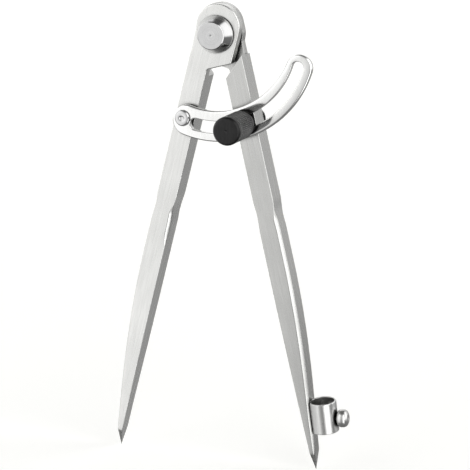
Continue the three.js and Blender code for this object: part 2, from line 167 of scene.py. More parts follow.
def axis_at(origin: Vector, direction: Vector) -> Matrix:
    """Places a piece's own Z axis along a direction at a point."""
    return Matrix.Translation(origin) @ direction.to_track_quat("Z", "Y").to_matrix().to_4x4()


def turn(
    name: str,
    profile: Sequence[Flat],
    place: Matrix,
    cyclic: bool = False,
    facets: int = ROUND_STEPS,
    cut: Callable[[float, float], float] | None = None,
) -> bpy.types.Object:
    """Makes a turned piece from its profile.

    Args:
        name: The object's name.
        profile: Points of radius and distance along the axis.
        place: Moves the piece's Z axis to where it stands.
        cyclic: True for a ring, whose profile closes on itself.
        facets: Facets of the full round.
        cut: Depth taken off the radius, from the distance along the axis and the angle.

    Returns:
        The new object.
    """
    loops: list[Loop] = []
    for radius, along in profile:
        loop: Loop = []
        for index in range(facets):
            angle = 2 * math.pi * index / facets
            depth = cut(along, angle) if cut else 0.0
            reach = radius - depth
            loop.append(place @ Vector((reach * math.cos(angle), reach * math.sin(angle), along)))
        loops.append(loop)
    return skin(name, loops, cyclic)


def inset(points: Sequence[Flat], distance: float) -> list[Flat]:
    """Moves a closed outline inwards by a small distance.

    Args:
        points: The outline, anticlockwise.
        distance: How far inwards.

    Returns:
        As many points as were given.
    """
    moved: list[Flat] = []
    count = len(points)
    for index, point in enumerate(points):
        here = Vector(point)
        back = (here - Vector(points[index - 1])).normalized()
        ahead = (Vector(points[(index + 1) % count]) - here).normalized()
        normal = Vector((-back.y - ahead.y, back.x + ahead.x)).normalized()
        stretch = max(0.5, normal.dot(Vector((-back.y, back.x))))
        here += normal * (distance / stretch)
        moved.append((here.x, here.y))
    return moved


def rim_levels(
    front: float, back: float, rim: float, back_rim: float | None = None
) -> list[tuple[float, float]]:
    """Depths through a plate with quarter-round rims.

    Args:
        front: y of the front face.
        back: y of the back face.
        rim: Radius of the front rim.
        back_rim: Radius of the back rim; as the front one if it is left out.

    Returns:
        Pairs of y and how far the outline is drawn in there, front to back.
    """
    far_rim = rim if back_rim is None else back_rim
    turns = [math.pi / 2 * step / RIM_STEPS for step in range(RIM_STEPS + 1)]
    shape = [(1 - math.cos(turn), 1 - math.sin(turn)) for turn in turns]
    near = [(front + rim * depth, rim * drawn) for depth, drawn in shape]
    far = [(back - far_rim * depth, far_rim * drawn) for depth, drawn in reversed(shape)]
    return near + far


def combine(base: bpy.types.Object, tools: Sequence[tuple[bpy.types.Object, str]]) -> None:
    """Joins or cuts a piece with others, which are used up.

    Args:
        base: The piece that is changed.
        tools: Pairs of an object and UNION or DIFFERENCE.
    """
    for tool, operation in tools:
        step = base.modifiers.new(operation.lower(), "BOOLEAN")
        step.object = tool
        step.operation = operation
        step.solver = "EXACT"
    graph = bpy.context.evaluated_depsgraph_get()
    finished = bpy.data.meshes.new_from_object(base.evaluated_get(graph))
    base.modifiers.clear()
    base.data = finished
    for tool, _ in tools:
        bpy.data.objects.remove(tool, do_unlink=True)


def box_piece(name: str, low: Vector, high: Vector, place: Matrix) -> bpy.types.Object:
    """Makes a square block, used as a cutting tool or as a square neck."""
    corners = [(low.x, low.y), (high.x, low.y), (high.x, high.y), (low.x, high.y)]
    loops = [[place @ Vector((x, y, z)) for x, y in corners] for z in (low.z, high.z)]
    return skin(name, loops)


def pin_tool(radius: float, front: float, back: float, x: float, z: float) -> bpy.types.Object:
    """Makes a plain pin along Y that cuts a round hole."""
    place = axis_at(Vector((x, front, z)), -TOWARDS_VIEWER)
    return turn("bore_tool", [(radius, 0.0), (radius, back - front)], place, facets=64)


# ---------------------------------------------------------------- the frame


@dataclass(frozen=True)
class NodeBox:
    """The space that one CAD node fills at rest.

    Args:
        node: The node's name.
    """

    node: str

    @property
    def low(self) -> Vector:
        """Lowest corner."""
        return Vector(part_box(self.node)[0])

    @property
    def high(self) -> Vector:
        """Highest corner."""
        return Vector(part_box(self.node)[1])

    @property
    def centre(self) -> Vector:
        """Middle of the box."""
        return (self.low + self.high) / 2

    @property
    def depth(self) -> float:
        """Size from front to back."""
        return self.high.y - self.low.y

    @property
    def radius(self) -> float:
        """Half its width, the radius of a piece turned about Y."""
        return (self.high.x - self.low.x) / 2


def finish_piece(
    piece: bpy.types.Object, node: str, body: str, material: bpy.types.Material
) -> None:
    """Shades a piece, gives it its finish and fastens it to its body in place of the CAD node.

    Args:
        piece: The finished mesh object.
        node: The CAD node that it stands for.
        body: The CAD body that it moves with.
        material: The finish.
    """
    piece.data.shade_smooth()
    piece.data.set_sharp_from_angle(angle=SHARP_EDGE)
    flat_faces = piece.modifiers.new("flat_faces_stay_flat", "WEIGHTED_NORMAL")
    flat_faces.keep_sharp = True
    piece.data.materials.clear()
    piece.data.materials.append(material)
    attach(piece, body)
    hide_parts(node)
    log.info("%s: %d faces on body %s", piece.name, len(piece.data.polygons), body)


# ---------------------------------------------------------------- finishes


def linear(hex_colour: str) -> tuple[float, float, float, float]:
    """Turns an sRGB hex colour into linear red, green, blue and alpha."""
    values = [int(hex_colour[start : start + 2], 16) / 255 for start in (1, 3, 5)]
    low = [value / 12.92 for value in values]
    high = [((value + 0.055) / 1.055) ** 2.4 for value in values]
    mixed = [a if value <= 0.04045 else b for value, a, b in zip(values, low, high)]
    return (mixed[0], mixed[1], mixed[2], 1.0)


def add_node(
    tree: bpy.types.NodeTree,
    kind: str,
    settings: dict[str, object] | None = None,
    inputs: dict[str | int, object] | None = None,
) -> bpy.types.Node:
    """Adds one shader node with its settings and links.

    Args:
        tree: The node tree.
        kind: The node's type name.
        settings: Values of the node's own properties.
        inputs: Socket names or numbers with a value, or an output socket to link from.

    Returns:
        The new node.
    """
    made = tree.nodes.new(kind)
    for key, value in (settings or {}).items():
        setattr(made, key, value)
    for key, value in (inputs or {}).items():
        if isinstance(value, bpy.types.NodeSocket):
            tree.links.new(value, made.inputs[key])
        else:
            made.inputs[key].default_value = value
    return made


def blend_colours(tree: bpy.types.NodeTree, share: object, low: object, high: object) -> bpy.types.Node:
    """Mixes two colours; each input is a value or another node's output.

    Args:
        tree: The node tree.
        share: Share of the second colour.
        low: First colour.
        high: Second colour.

    Returns:
        The new node; its third output is the colour.
    """
    return add_node(tree, "ShaderNodeMix", {"data_type": "RGBA"}, {0: share, 6: low, 7: high})


def smooth_share(tree: bpy.types.NodeTree, value: object, start: object, end: object) -> bpy.types.Node:
    """Turns the stretch between two values into a share with a soft start and a soft end.

    Args:
        tree: The node tree.
        value: The value that is measured.
        start: Where the share is 0.
        end: Where the share is 1.

    Returns:
        The new node.
    """
    return add_node(
        tree,
        "ShaderNodeMapRange",
        {"interpolation_type": "SMOOTHSTEP"},
        {"Value": value, "From Min": start, "From Max": end},
    )


def calculation(
    tree: bpy.types.NodeTree, operation: str, first: object, second: object
) -> bpy.types.Node:
    """Works one sum on two inputs.

    Args:
        tree: The node tree.
        operation: Name of the sum.
        first: First input.
        second: Second input.

    Returns:
        The new node.
    """
    return add_node(tree, "ShaderNodeMath", {"operation": operation}, {0: first, 1: second})


def set_ramp(ramp_node: bpy.types.Node, stops: Sequence[tuple[float, float]]) -> None:
    """Gives a colour ramp grey stops.

    Args:
        ramp_node: The colour ramp node.
        stops: Pairs of position and grey level.
    """
    elements = ramp_node.color_ramp.elements
    while len(elements) > 1:
        elements.remove(elements[-1])
    for index, (position, level) in enumerate(stops):
        element = elements[0] if index == 0 else elements.new(position)
        element.position = position
        element.color = (level, level, level, 1.0)


def blank_material(name: str) -> bpy.types.Material:
    """Makes an empty node material."""
    material = bpy.data.materials.new(name)
    material.use_nodes = True
    material.node_tree.nodes.clear()
    return material


@dataclass(frozen=True)
class MetalFinish:
    """A metal surface with the marks of how it was made.

    Args:
        name: The material's name: the metal and how its surface was made.
        colour: Reflected colour of the plain metal, sRGB hex.
        mark_colour: Reflected colour in the bottom of the marks.
        worn_and_glint_colour: Reflected colour along the edges: wear, and on the blackened steel partly
            a painted highlight.
        roughness: Smoothest and roughest parts of the surface.
        edge_width: Width of the rubbed edges, in metres.
        mark_depth: Depth of the marks, in metres.
        metallic: How far the surface is bare metal.
        painted_shade_reach: How far from a joint or a corner the painted shade reaches, in metres.
        painted_shade_colour: Colour of that painted shade.
    """

    name: str
    colour: str
    mark_colour: str
    worn_and_glint_colour: str
    roughness: tuple[float, float]
    edge_width: float
    mark_depth: float
    metallic: float = 1.0
    painted_shade_reach: float = 3.2 * MM
    painted_shade_colour: str = "#161514"

    def marks(self, tree: bpy.types.NodeTree) -> bpy.types.NodeSocket:
        """Returns the pattern of marks, from 0 to 1; each kind of surface has its own."""
        raise NotImplementedError

    def worn_and_glint_edges(self, tree: bpy.types.NodeTree) -> bpy.types.NodeSocket:
        """Returns 1 along the piece's edges: handling wear, and on the blackened steel a painted
        highlight.
        """
        soft = add_node(tree, "ShaderNodeBevel", {"samples": 6}, {"Radius": self.edge_width})
        true = add_node(tree, "ShaderNodeNewGeometry")
        same = add_node(
            tree,
            "ShaderNodeVectorMath",
            {"operation": "DOT_PRODUCT"},
            {0: soft.outputs["Normal"], 1: true.outputs["Normal"]},
        )
        edge = add_node(
            tree,
            "ShaderNodeMapRange",
            {},
            {"Value": same.outputs["Value"], "From Min": 0.995, "From Max": 0.9},
        )
        return edge.outputs["Result"]

    def unshaded_share(self, tree: bpy.types.NodeTree) -> bpy.types.NodeSocket:
        """Returns 1 in the open and 0 close beside other pieces, where painted shade darkens the
        surface.
        """
        near = add_node(
            tree, "ShaderNodeAmbientOcclusion", {"samples": 8}, {"Distance": self.painted_shade_reach}
        )
        unshaded_mask = smooth_share(tree, near.outputs["AO"], 0.32, 0.78)
        return unshaded_mask.outputs["Result"]

    def build(self) -> bpy.types.Material:
        """Returns the node material."""
        material = blank_material(self.name)
        tree = material.node_tree
        pattern = self.marks(tree)
        edges = self.worn_and_glint_edges(tree)
        tone = blend_colours(tree, pattern, linear(self.mark_colour), linear(self.colour))
        # Lighter edges: wear, and on the blackened steel a painted highlight on the rims and the knob's
        # knurl.
        worn_glint_mix = blend_colours(tree, edges, tone.outputs[2], linear(self.worn_and_glint_colour))
        # Painted shade: darker close to joints, corners and other pieces.
        shaded_colour = blend_colours(
            tree, self.unshaded_share(tree), linear(self.painted_shade_colour), worn_glint_mix.outputs[2]
        )
        rough = add_node(
            tree,
            "ShaderNodeMapRange",
            {},
            {"Value": pattern, "To Min": self.roughness[1], "To Max": self.roughness[0]},
        )
        bump = add_node(
            tree,
            "ShaderNodeBump",
            {},
            {"Height": pattern, "Strength": 1.0, "Distance": self.mark_depth},
        )
        shader = add_node(
            tree,
            "ShaderNodeBsdfPrincipled",
            {},
            {
                "Base Color": shaded_colour.outputs[2],
                "Metallic": self.metallic,
                "Roughness": rough.outputs["Result"],
                "Normal": bump.outputs["Normal"],
            },
        )
        add_node(tree, "ShaderNodeOutputMaterial", {}, {"Surface": shader.outputs["BSDF"]})
        return material


@dataclass(frozen=True)
class GroundSteel(MetalFinish):
    """Forged steel ground along its length on a belt and nickel plated: satin, with long fine lines.

    Args:
        lean: Turn of the leg about Y, which the lines follow.
        line_width: Width of one line; real grit leaves 0.05 mm, too fine to show, so it is coarser.
        line_length: Length of one line.
        patch: Size of the soft cloudy patches that handling leaves.
    """

    lean: float = 0.0
    line_width: float = 0.45 * MM
    line_length: float = 14.0 * MM
    patch: float = 16.0 * MM

    def marks(self, tree: bpy.types.NodeTree) -> bpy.types.NodeSocket:
        """Returns long lines along the leg over soft patches."""
        place = add_node(tree, "ShaderNodeTexCoord")
        upright = add_node(
            tree,
            "ShaderNodeVectorRotate",
            {"rotation_type": "Y_AXIS"},
            {"Vector": place.outputs["Object"], "Angle": -self.lean},
        )
        across = 1 / self.line_width
        stretched = add_node(
            tree,
            "ShaderNodeMapping",
            {},
            {"Vector": upright.outputs[0], "Scale": (across, across, 1 / self.line_length)},
        )
        lines = add_node(
            tree,
            "ShaderNodeTexNoise",
            {},
            {"Vector": stretched.outputs[0], "Scale": 1.0, "Detail": 3.0, "Roughness": 0.6},
        )
        clouds = add_node(
            tree,
            "ShaderNodeTexNoise",
            {},
            {"Vector": upright.outputs[0], "Scale": 1 / self.patch, "Detail": 2.0},
        )
        both = add_node(
            tree,
            "ShaderNodeMix",
            {"data_type": "FLOAT"},
            {0: 0.35, 2: lines.outputs[0], 3: clouds.outputs[0]},
        )
        spread = add_node(
            tree,
            "ShaderNodeMapRange",
            {},
            {"Value": both.outputs[0], "From Min": 0.3, "From Max": 0.7},
        )
        return spread.outputs["Result"]


@dataclass(frozen=True)
class TurnedChrome(MetalFinish):
    """Steel turned on a lathe, polished and chrome plated: mirror bright with faint tool rings.

    Args:
        axis: A point on the axis, which runs along Y.
        ring_spacing: Distance between tool rings.
    """

    axis: tuple[float, float, float] = (0.0, 0.0, 0.0)
    ring_spacing: float = 1.1 * MM

    def marks(self, tree: bpy.types.NodeTree) -> bpy.types.NodeSocket:
        """Returns fine rings about the axis, broken up by small smudges."""
        place = add_node(tree, "ShaderNodeTexCoord")
        centred = add_node(
            tree,
            "ShaderNodeMapping",
            {},
            {
                "Vector": place.outputs["Object"],
                "Location": tuple(-value for value in self.axis),
            },
        )
        flat = add_node(
            tree,
            "ShaderNodeVectorMath",
            {"operation": "MULTIPLY"},
            {0: centred.outputs[0], 1: (1.0, 0.0, 1.0)},
        )
        radius = add_node(
            tree, "ShaderNodeVectorMath", {"operation": "LENGTH"}, {0: flat.outputs[0]}
        )
        rings = add_node(
            tree,
            "ShaderNodeTexNoise",
            {"noise_dimensions": "1D"},
            {"W": radius.outputs["Value"], "Scale": 1 / self.ring_spacing, "Detail": 2.0},
        )
        smudges = add_node(
            tree,
            "ShaderNodeTexNoise",
            {},
            {"Vector": centred.outputs[0], "Scale": 1 / (3 * MM), "Detail": 4.0},
        )
        both = add_node(
            tree,
            "ShaderNodeMix",
            {"data_type": "FLOAT"},
            {0: 0.4, 2: rings.outputs[0], 3: smudges.outputs[0]},
        )
        return both.outputs[0]


@dataclass(frozen=True)
class PlatedSteel(MetalFinish):
    """Pressed or drawn steel, buffed and plated: a bright skin with fine swirls from the buffing wheel.

    Args:
        grain: Size of one swirl; true swirls are finer than they are drawn here.
        stretch: How much longer than wide a swirl is, along X, Y and Z.
    """

    grain: float = 1.2 * MM
    stretch: tuple[float, float, float] = (1.0, 1.0, 0.25)

    def marks(self, tree: bpy.types.NodeTree) -> bpy.types.NodeSocket:
        """Returns soft directional swirls."""
        place = add_node(tree, "ShaderNodeTexCoord")
        scale = tuple(value / self.grain for value in self.stretch)
        sized = add_node(
            tree, "ShaderNodeMapping", {}, {"Vector": place.outputs["Object"], "Scale": scale}
        )
        swirls = add_node(
            tree,
            "ShaderNodeTexNoise",
            {},
            {"Vector": sized.outputs[0], "Scale": 1.0, "Detail": 5.0, "Distortion": 0.4},
        )
        return swirls.outputs[0]


# ---------------------------------------------------------------- legs


def ease(share: float) -> float:
    """Returns a share held between 0 and 1, with a soft start and a soft end."""
    held = min(1.0, max(0.0, share))
    return held * held * (3 - 2 * held)


@dataclass(frozen=True)
class Leg:
    """A forged leg with its half-lap hinge plate and its ground point.

    Distances run down from the hinge and outwards from the line through the hinge.
    """

    side: Side
    length: float = 200 * MM
    width: float = 9.4 * MM
    inner: float = 0.15 * MM
    half_depth: float = 5.5 * MM
    plate_radius: float = 10.0 * MM
    plate_rise: float = 3.2 * MM
    plate_corner: float = 10.7 * MM
    plate_corner_width: float = 9.8 * MM
    plate_root: float = 16.2 * MM
    plate_reach: float = 24 * MM
    shoulder: float = 2.0 * MM
    front_shoulder: float = 9.5 * MM
    rear_shoulder: float = 8.6 * MM
    rear_neck: float = 5.6 * MM
    front_lap: float = -1.2 * MM
    rear_lap: float = 0.8 * MM
    step_outer: float = 11.3 * MM
    step_inner: float = 19.6 * MM
    rim: float = 0.55 * MM
    lap_rim: float = 0.12 * MM
    waist: float = 81 * MM
    waist_start: float = 75 * MM
    waist_end: float = 90 * MM
    waist_cut: float = 0.4 * MM
    chamfer: float = 1.2 * MM
    broken_edge: float = 0.35 * MM
    fine_edge: float = 0.15 * MM
    chamfer_start: float = 79 * MM
    chamfer_full: float = 85 * MM
    facet_fade: float = 93 * MM
    facet_end: float = 102 * MM
    taper_start: float = 108 * MM
    taper_bends: tuple[Flat, Flat] = ((9.0 * MM, 140 * MM), (5.8 * MM, 165 * MM))
    depth_taper: float = 118 * MM
    point: float = 191.5 * MM
    point_width: float = 2.4 * MM
    point_half_depth: float = 3.7 * MM
    tip: float = 0.05 * MM
    hinge_bore: float = 3.9 * MM

    @property
    def node(self) -> str:
        """The CAD node, which is also the body's name."""
        return "left_leg" if self.side is Side.LEFT else "right_leg"

    @property
    def lean(self) -> float:
        """Turn about Y that carries the upright leg to its place, from how low its tip hangs."""
        half_opening = math.acos(-NodeBox(self.node).low.z / self.length)
        return -self.side.value * half_opening

    @property
    def place(self) -> Matrix:
        """Carries the upright leg to its place."""
        return Matrix.Rotation(self.lean, 4, "Y")

    def dip(self, down: float) -> float:
        """Returns the depth of the waist's hollow, from 0 to 1."""
        end = self.waist_start if down < self.waist else self.waist_end
        return 1.0 - ease(abs(down - self.waist) / abs(end - self.waist))

    def outer_edge(self, down: float) -> float:
        """Returns how far out the outer face is."""
        if down >= self.point:
            share = (self.length - down) / (self.length - self.point)
            return self.tip + (self.point_width - self.tip) * share
        if down <= self.taper_start:
            return self.width - self.waist_cut * self.dip(down)
        bends = ((self.width, self.taper_start), *self.taper_bends, (self.point_width, self.point))
        low, high = 0.0, 1.0
        for _ in range(24):
            t = (low + high) / 2
            weights = ((1 - t) ** 3, 3 * t * (1 - t) ** 2, 3 * t**2 * (1 - t), t**3)
            reached = sum(weight * bend[1] for weight, bend in zip(weights, bends))
            low, high = (t, high) if reached < down else (low, t)
        return sum(weight * bend[0] for weight, bend in zip(weights, bends))

    def inner_edge(self, down: float) -> float:
        """Returns how far out the inner face is."""
        if down <= self.waist_end:
            return self.inner + self.waist_cut * self.dip(down)
        return self.inner * (self.length - down) / (self.length - self.waist_end)

    def half_depth_at(self, down: float) -> float:
        """Returns half the leg's thickness from front to back."""
        if down >= self.point:
            share = (self.length - down) / (self.length - self.point)
            return self.tip + (self.point_half_depth - self.tip) * share
        closing = max(0.0, (down - self.depth_taper) / (self.point - self.depth_taper))
        drawn_in = (self.half_depth - self.point_half_depth) * closing**1.8
        return self.half_depth - drawn_in

    def corner_cut(self, down: float, is_front: bool, is_outer: bool) -> float:
        """Returns the size of the flat that breaks one long edge.

        The rear edges and the right leg's outer front edge are ground wide from the waist
        down. The left leg's inner front edge has only a short facet.

        Args:
            down: Distance down from the hinge.
            is_front: True for the two front edges.
            is_outer: True for the two edges away from the other leg.
        """
        wide = ease((down - self.chamfer_start) / (self.chamfer_full - self.chamfer_start))
        narrow = self.broken_edge
        if is_front:
            narrow = self.fine_edge
            is_ground = is_outer == (self.side is Side.RIGHT)
            fade = ease((down - self.facet_fade) / (self.facet_end - self.facet_fade))
            wide *= 1.0 if is_outer else 1.0 - fade
            wide *= is_ground
        cut = narrow + (self.chamfer - narrow) * wide
        across = self.outer_edge(down) - self.inner_edge(down)
        return min(cut, 0.28 * across)

    def section(self, down: float) -> Loop:
        """Returns the leg's outline at one level, with its four edges broken.

        Args:
            down: Distance down from the hinge.

        Returns:
            A ring of points in the leg's own upright frame.
        """
        near, far = self.inner_edge(down), self.outer_edge(down)
        half = self.half_depth_at(down)
        front_in, front_out, back_out, back_in = (
            self.corner_cut(down, is_front, is_outer)
            for is_front, is_outer in ((True, False), (True, True), (False, True), (False, False))
        )
        flats = [
            (near + front_in, -half, front_in),
            (far - front_out, -half, front_out),
            (far, front_out - half, front_out),
            (far, half - back_out, back_out),
            (far - back_out, half, back_out),
            (near + back_in, half, back_in),
            (near, half - back_in, back_in),
            (near, front_in - half, front_in),
        ]
        corners = [Corner(x, y, cut * 0.3) for x, y, cut in flats]
        ring: Loop = []
        for x, y in rounded(corners, closed=True, steps=2):
            ring.append(Vector((self.side.value * x, y, -down)))
        return ring

    def stations(self) -> list[float]:
        """Returns the levels of the sections, close together where the shape changes."""
        stretches = [
            (self.plate_reach, self.waist_start, 6),
            (self.waist_start, self.taper_start, 40),
            (self.taper_start, self.point, 34),
            (self.point, self.length, 8),
        ]
        levels: list[float] = []
        for start, end, count in stretches:
            levels += [start + (end - start) * step / count for step in range(count)]
        return [*levels, self.length]

    def shank(self) -> bpy.types.Object:
        """Makes the full-depth leg from its slanted shoulder to its point."""
        top = self.section(self.plate_reach)
        slope = (self.step_inner - self.step_outer) / (self.width - self.inner)
        for point in top:
            across = abs(point.x) - self.inner
            point.z = -(self.step_inner - slope * across)
        loops = [top, *(self.section(down) for down in self.stations())]
        return skin(self.node + "_shank", loops)

    def hinge_plate(self) -> bpy.types.Object:
        """Makes the half-lap plate with its round top and slanted free edge."""
        turns = [math.pi * step / 48 for step in range(49)]
        top = [
            (self.plate_radius * math.cos(turn), self.plate_rise + self.plate_radius * math.sin(turn))
            for turn in turns
        ]
        front, back, rims = -self.half_depth, self.front_lap, (self.rim, self.lap_rim)
        shoulder = [
            Corner(self.width, -self.step_outer),
            Corner(self.front_shoulder, -self.shoulder),
        ]
        if self.side is Side.RIGHT:
            front, back, rims = self.rear_lap, self.half_depth, (self.lap_rim, self.rim)
            shoulder = [
                Corner(self.rear_shoulder, -self.step_outer),
                Corner(self.rear_shoulder, -self.rear_neck, 0.8 * MM),
                Corner(self.plate_radius, -self.shoulder, 0.8 * MM),
                Corner(self.plate_radius, 0.0),
            ]
        corner = [
            Corner(-self.plate_radius, self.plate_rise / 2),
            Corner(-self.plate_corner_width, -self.plate_corner, 0.6 * MM),
            Corner(self.inner, -self.plate_root, 0.8 * MM),
            Corner(self.inner, -self.plate_reach),
            Corner(shoulder[0].across, -self.plate_reach),
            *shoulder,
        ]
        points = [*top, *rounded(corner)]
        loops: list[Loop] = []
        for y, drawn in rim_levels(front, back, *rims):
            flat = inset(points, drawn)
            loops.append([Vector((self.side.value * x, y, z)) for x, z in flat])
        return skin(self.node + "_plate", loops)

    def holes(self) -> list[bpy.types.Object]:
        """Makes the tools that cut this leg's holes, in the place where the leg stands."""
        front, back = -self.half_depth - 1 * MM, self.half_depth + 1 * MM
        tools = [pin_tool(self.hinge_bore, front, back, HINGE.x, HINGE.z)]
        if self.side is Side.LEFT:
            rivet = NodeBox("arc_rivet").centre
            tools.append(pin_tool(2.0 * MM, front, back, rivet.x, rivet.z))
            return tools
        stud = NodeBox("clamp_bolt").centre
        tools.append(pin_tool(2.6 * MM, front, back, stud.x, stud.z))
        pocket = Vector((2.8 * MM, 2.8 * MM, 3.5 * MM))
        stand = axis_at(Vector((stud.x, self.half_depth - 3.5 * MM, stud.z)), -TOWARDS_VIEWER)
        square = stand @ Matrix.Rotation(self.lean, 4, "Z")
        tools.append(box_piece("pocket_tool", Vector((-pocket.x, -pocket.y, 0)), pocket * 1.2, square))
        return tools

    def build(self, finish: bpy.types.Material) -> None:
        """Makes the leg, dresses it and fastens it to its body."""
        leg = self.shank()
        combine(leg, [(self.hinge_plate(), "UNION")])
        leg.data.transform(self.place)
        tools = [(tool, "DIFFERENCE") for tool in self.holes()]
        if self.side is Side.RIGHT:
            tools += [(tool, "DIFFERENCE") for tool in HOLDER.leg_cutters()]
        combine(leg, tools)
        leg.name = self.node + "_forging"
        finish_piece(leg, self.node, self.node, finish)


# ---------------------------------------------------------------- hinge


@dataclass(frozen=True)
class Hinge:
    """The turned hinge rivet and the two washers on it."""

    body: str = "left_leg"
    face_radius: float = 6.2 * MM
    head_height: float = 6.2 * MM
    shank_radius: float = 3.6 * MM
    foot_height: float = 0.8 * MM
    centre_mark: float = 0.55 * MM
    washer_bore: float = 3.9 * MM
    tail_radius: float = 5.6 * MM
    tail_height: float = 1.6 * MM

    def rivet(self, finish: bpy.types.Material) -> None:
        """Makes the rivet: a coned head with a turned face, a plain shank and a peened tail."""
        room = NodeBox("hinge_rivet")
        base = self.head_height
        end = -(room.depth - self.head_height)
        profile = rounded(
            [
                Corner(0.05 * MM, base - 0.3 * MM),
                Corner(self.centre_mark, base, 0.15 * MM),
                Corner(self.face_radius - 0.45 * MM, base),
                Corner(self.face_radius - 0.1 * MM, base - 0.25 * MM, 0.2 * MM),
                Corner(room.radius - 0.1 * MM, self.foot_height, 0.3 * MM),
                Corner(room.radius - 0.1 * MM, 0.0, 0.3 * MM),
                Corner(self.shank_radius, 0.0),
                Corner(self.shank_radius, end + self.tail_height),
                Corner(self.tail_radius, end + self.tail_height, 0.2 * MM),
                Corner(self.tail_radius, end + self.tail_height * 0.6, 0.8 * MM),
                Corner(self.tail_radius * 0.6, end, 1.6 * MM),
                Corner(0.05 * MM, end),
            ]
        )
        foot = Vector((HINGE.x, room.low.y + self.head_height, HINGE.z))
        piece = turn("hinge_rivet_turned", profile, axis_at(foot, TOWARDS_VIEWER))
        finish_piece(piece, "hinge_rivet", self.body, finish)

    def washer(self, node: str, rim: float, finish: bpy.types.Material) -> None:
        """Makes one washer with rounded rims.

        Args:
            node: The CAD node, which gives its size and place.
            rim: Rounding of its rims.
            finish: The finish.
        """
        room = NodeBox(node)
        corners = [
            Corner(self.washer_bore, 0.0, rim / 2),
            Corner(room.radius, 0.0, rim),
            Corner(room.radius, room.depth, rim),
            Corner(self.washer_bore, room.depth, rim / 2),
        ]
        foot = Vector((HINGE.x, room.high.y, HINGE.z))
        profile = rounded(corners, closed=True)
        piece = turn(node + "_stamped", profile, axis_at(foot, TOWARDS_VIEWER), cyclic=True)
        finish_piece(piece, node, self.body, finish)

    def build(
        self, chrome: bpy.types.Material, plate: bpy.types.Material, bronze: bpy.types.Material
    ) -> None:
        """Makes the hinge's three loose pieces."""
        self.rivet(chrome)
        self.washer("friction_washer", 0.12 * MM, bronze)
        self.washer("rear_washer", 0.3 * MM, plate)


# ---------------------------------------------------------------- wing arc


